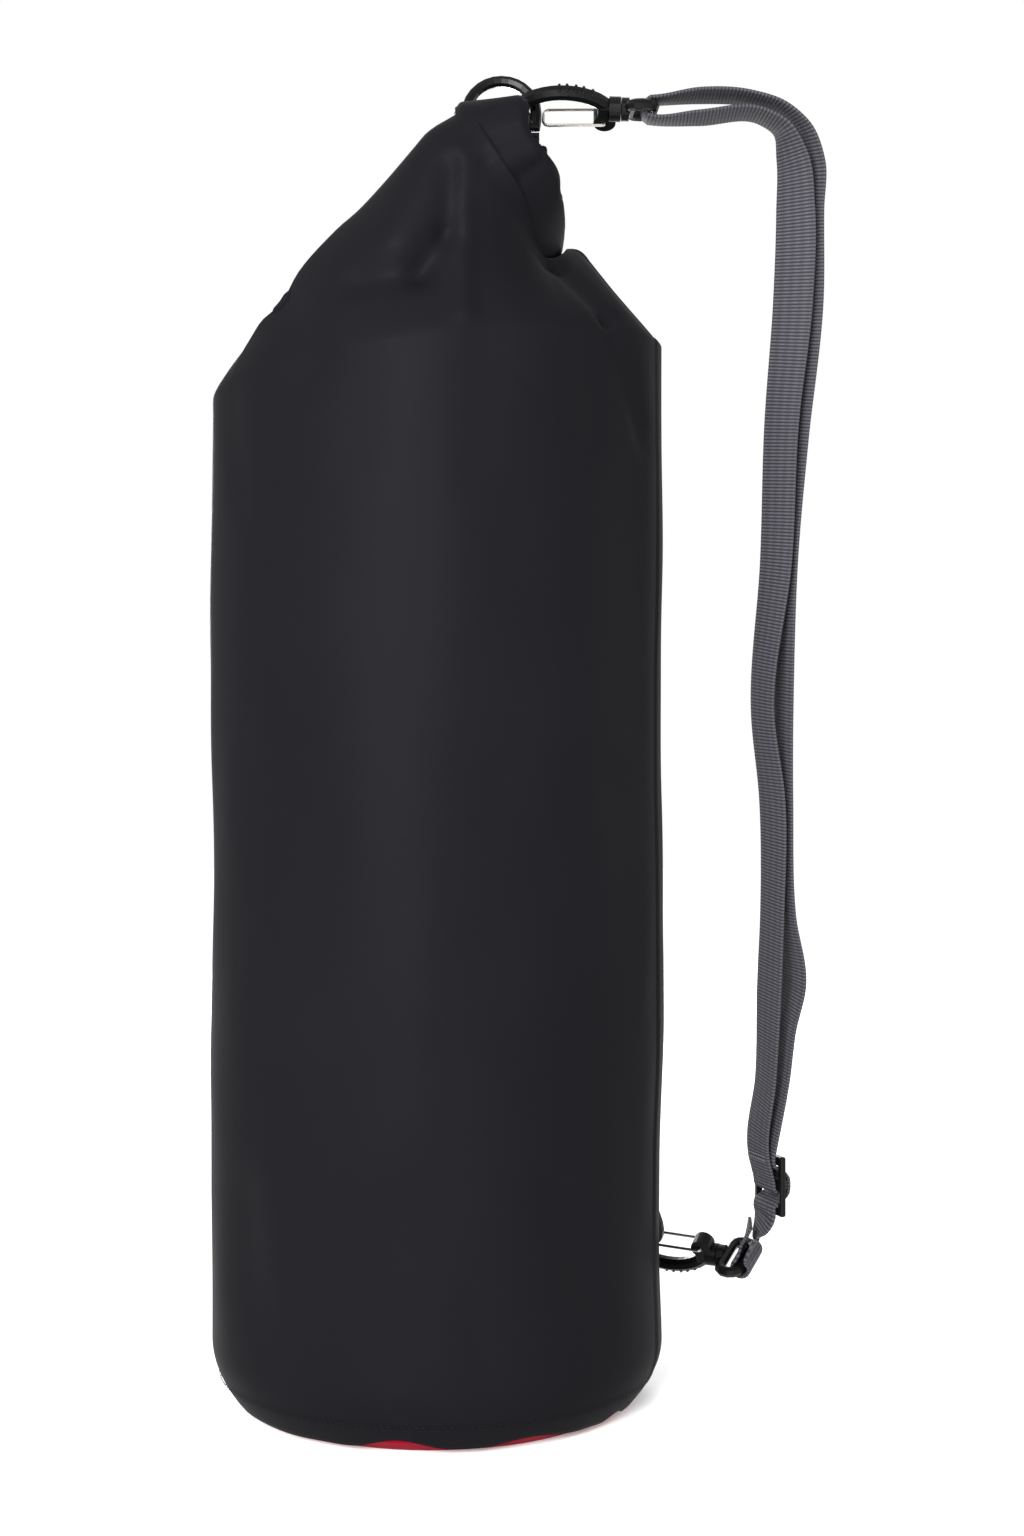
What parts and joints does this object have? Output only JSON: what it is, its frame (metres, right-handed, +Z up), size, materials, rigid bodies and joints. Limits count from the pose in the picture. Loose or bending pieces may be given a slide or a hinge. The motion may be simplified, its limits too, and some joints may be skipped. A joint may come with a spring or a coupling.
{
  "type": "rope storage bag",
  "caption": "Tall roll-top tarpaulin rope storage bag with a buckled mouth, a ring at top and bottom, and an adjustable webbing shoulder strap on swivel snap hooks.",
  "frame": {"origin": "centre of the flat base, on the plane the bag stands on", "axes": "+Z up along the bag, +X toward the shoulder strap, -Y toward the side that carries the top ring"},
  "size_m": [0.3235, 0.24, 0.695],
  "materials": {
    "tarpaulin": "matte coated tarpaulin",
    "red_base": "matte coated tarpaulin",
    "stiffener": "matte",
    "webbing": "ribbed polyester webbing",
    "hardware": "satin moulded nylon",
    "gate_wire": "bright stainless wire"
  },
  "bodies": {
    "bag": {"bag_tube": "tarpaulin", "base_panel": "red_base", "mouth_roll": "tarpaulin", "mouth_stiffener": "stiffener", "top_ring_tab": "webbing", "bottom_patch": "tarpaulin", "bottom_ring_tab": "webbing", "buckle_female": "hardware", "buckle_web_near": "webbing", "buckle_web_far": "webbing", "strap_webbing": "webbing"},
    "top_ring": {"top_d_ring": "hardware"},
    "top_hook": {"top_hook_body": "hardware"},
    "top_eye": {"top_hook_eye": "hardware"},
    "top_gate": {"top_hook_gate": "gate_wire"},
    "bottom_ring": {"bottom_d_ring": "hardware"},
    "bottom_hook": {"bottom_hook_body": "hardware"},
    "bottom_eye": {"bottom_hook_eye": "hardware"},
    "bottom_gate": {"bottom_hook_gate": "gate_wire"},
    "slider": {"strap_slider": "hardware"},
    "buckle": {"buckle_male": "hardware"},
    "prong_left": {"buckle_prong_left": "hardware"},
    "prong_right": {"buckle_prong_right": "hardware"}
  },
  "joints": [
    {"name": "top_ring_hinge", "type": "hinge", "parent": "bag", "child": "top_ring", "pos_m": [0.0345, -0.04, 0.6665], "axis": [1, 0, 0], "range_deg": [-30, 30]},
    {"name": "top_hook_pivot", "type": "hinge", "parent": "top_ring", "child": "top_hook", "pos_m": [0.0523, -0.03773, 0.67652], "axis": [-0.1045, 0.2198, 0.9699], "range_deg": [-8, 8]},
    {"name": "top_eye_swivel", "type": "hinge", "parent": "top_hook", "child": "top_eye", "pos_m": [0.0962, -0.0398, 0.6759], "axis": [-0.9997, 0.001, 0.025], "continuous": true, "deforming": ["strap_webbing"]},
    {"name": "top_gate_spring", "type": "hinge", "parent": "top_hook", "child": "top_gate", "pos_m": [0.08814, -0.03422, 0.67337], "axis": [0.0229, 0.4401, 0.8977], "range_deg": [0, 18], "stiffness_Nm_per_rad": 0.02, "springref_deg": -6},
    {"name": "bottom_ring_hinge", "type": "hinge", "parent": "bag", "child": "bottom_ring", "pos_m": [0.10981, 0.0634, 0.0893], "axis": [-0.5, 0.866, 0], "range_deg": [-20, 3]},
    {"name": "bottom_hook_pivot", "type": "hinge", "parent": "bottom_ring", "child": "bottom_hook", "pos_m": [0.11828, 0.06721, 0.06728], "axis": [0.4818, -0.875, 0.0483], "range_deg": [-4, 4]},
    {"name": "bottom_eye_swivel", "type": "hinge", "parent": "bottom_hook", "child": "bottom_eye", "pos_m": [0.1551, 0.048, 0.063], "axis": [-0.911, 0.412, 0.02], "continuous": true},
    {"name": "bottom_gate_spring", "type": "hinge", "parent": "bottom_hook", "child": "bottom_gate", "pos_m": [0.14664, 0.04844, 0.06854], "axis": [-0.3666, -0.7864, -0.4972], "range_deg": [0, 0.5], "stiffness_Nm_per_rad": 0.02, "springref_deg": -6},
    {"name": "strap_slider_slide", "type": "slide", "parent": "bag", "child": "slider", "axis": [0.009, -0.133, 0.9911], "range_m": [-0.008, 0.03]},
    {"name": "buckle_slide", "type": "slide", "parent": "bag", "child": "buckle", "axis": [0, 1, 0], "range_m": [0, 0.0012], "deforming": ["buckle_web_far"]},
    {"name": "buckle_prong_left_squeeze", "type": "hinge", "parent": "buckle", "child": "prong_left", "pos_m": [0.0315, 0.0085, 0.6555], "axis": [0, 0, 1], "range_deg": [0, 14], "stiffness_Nm_per_rad": 0.05, "springref_deg": -4},
    {"name": "buckle_prong_right_squeeze", "type": "hinge", "parent": "buckle", "child": "prong_right", "pos_m": [0.0515, 0.0085, 0.6555], "axis": [0, 0, -1], "range_deg": [0, 14], "stiffness_Nm_per_rad": 0.05, "springref_deg": -4}
  ]
}
